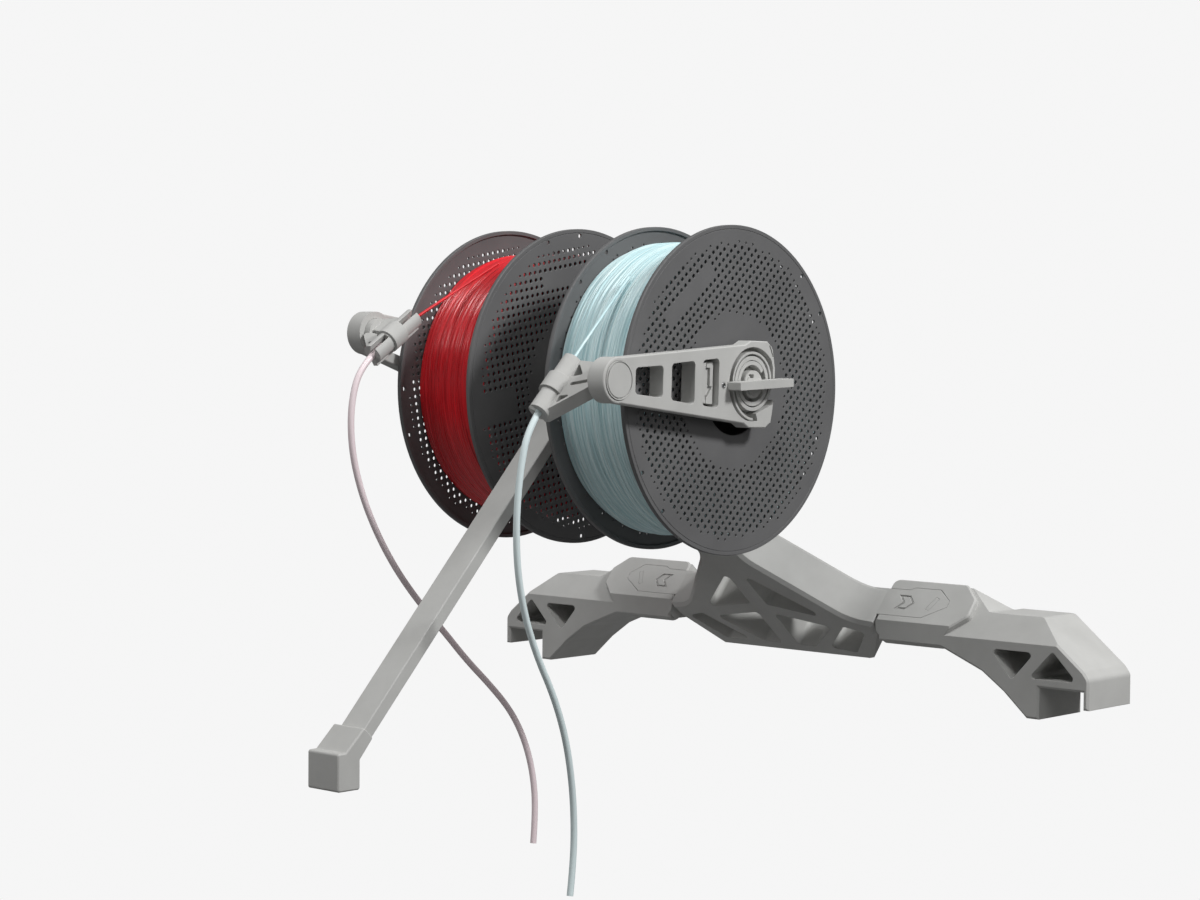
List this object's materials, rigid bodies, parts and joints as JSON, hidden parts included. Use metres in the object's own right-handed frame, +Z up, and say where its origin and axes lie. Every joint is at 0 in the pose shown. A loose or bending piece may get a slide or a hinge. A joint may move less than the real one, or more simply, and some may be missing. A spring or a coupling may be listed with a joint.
{
  "type": "spool holder stand",
  "caption": "Three-legged spool stand that hooks over an open printer frame, with mandrels, sprung swinging arms, strand guides and feed tubes.",
  "frame": {"origin": "on the top of the printer frame rim, midway between the two feet and midway along their depth", "axes": "+X to the right as seen from the front, +Y back, +Z up; the mandrels lie along X"},
  "size_m": [0.5, 0.4505, 0.4003],
  "materials": {
    "grey_print": "light warm grey printed plastic, satin-matte with faint layer lines",
    "dark_spool": "dark grey moulded plastic, matte",
    "cyan_filament": "pale cyan filament, soft gloss",
    "red_filament": "red filament, glossy",
    "ptfe_tube": "translucent white tube, satin",
    "bush_plastic": "natural white bearing plastic",
    "steel": "zinc-plated steel"
  },
  "bodies": {
    "stand": {"yoke": "grey_print", "strut": "grey_print", "strut_shoe": "grey_print", "tie_rod": "steel", "tie_nuts": "steel", "foot_right": "grey_print", "lock_key_right": "grey_print", "mandrel_right": "grey_print", "mandrel_plug_right": "grey_print", "foot_left": "grey_print", "lock_key_left": "grey_print", "mandrel_left": "grey_print", "mandrel_plug_left": "grey_print"},
    "arm_right": {"arm_right": "grey_print", "arm_cap_right": "grey_print", "guide_screw_right": "steel", "arm_bush_right": "bush_plastic", "spring_right": "grey_print", "detent_leaf_right": "grey_print", "detent_pin_right": "steel", "guide_right": "grey_print", "tube_right": "ptfe_tube", "filament_strand_right": "cyan_filament"},
    "knob_right": {"knob_right": "grey_print", "knob_pin_right": "steel"},
    "spool_right": {"outer_flange_right": "dark_spool", "inner_flange_right": "dark_spool", "spool_core_right": "dark_spool", "filament_winding_right": "cyan_filament"},
    "arm_left": {"arm_left": "grey_print", "arm_cap_left": "grey_print", "guide_screw_left": "steel", "arm_bush_left": "bush_plastic", "spring_left": "grey_print", "detent_leaf_left": "grey_print", "detent_pin_left": "steel", "guide_left": "grey_print", "tube_left": "ptfe_tube", "filament_strand_left": "red_filament"},
    "knob_left": {"knob_left": "grey_print", "knob_pin_left": "steel"},
    "spool_left": {"outer_flange_left": "dark_spool", "inner_flange_left": "dark_spool", "spool_core_left": "dark_spool", "filament_winding_left": "red_filament"}
  },
  "joints": [
    {"name": "arm_swing_right", "type": "hinge", "parent": "stand", "child": "arm_right", "pos_m": [0.105, -0.18, 0.188], "axis": [-1, 0, 0], "range_deg": [-1.5, 43]},
    {"name": "knob_turn_right", "type": "hinge", "parent": "stand", "child": "knob_right", "pos_m": [0.115, -0.18, 0.188], "axis": [1, 0, 0], "range_deg": [0, 90]},
    {"name": "spool_spin_right", "type": "hinge", "parent": "stand", "child": "spool_right", "pos_m": [0.0635, -0.18, 0.184], "axis": [1, 0, 0], "continuous": true},
    {"name": "arm_swing_left", "type": "hinge", "parent": "stand", "child": "arm_left", "pos_m": [-0.105, -0.18, 0.188], "axis": [-1, 0, 0], "range_deg": [-14, 31]},
    {"name": "knob_turn_left", "type": "hinge", "parent": "stand", "child": "knob_left", "pos_m": [-0.115, -0.18, 0.188], "axis": [-1, 0, 0], "range_deg": [0, 90]},
    {"name": "spool_spin_left", "type": "hinge", "parent": "stand", "child": "spool_left", "pos_m": [-0.0635, -0.18, 0.184], "axis": [-1, 0, 0], "continuous": true}
  ]
}
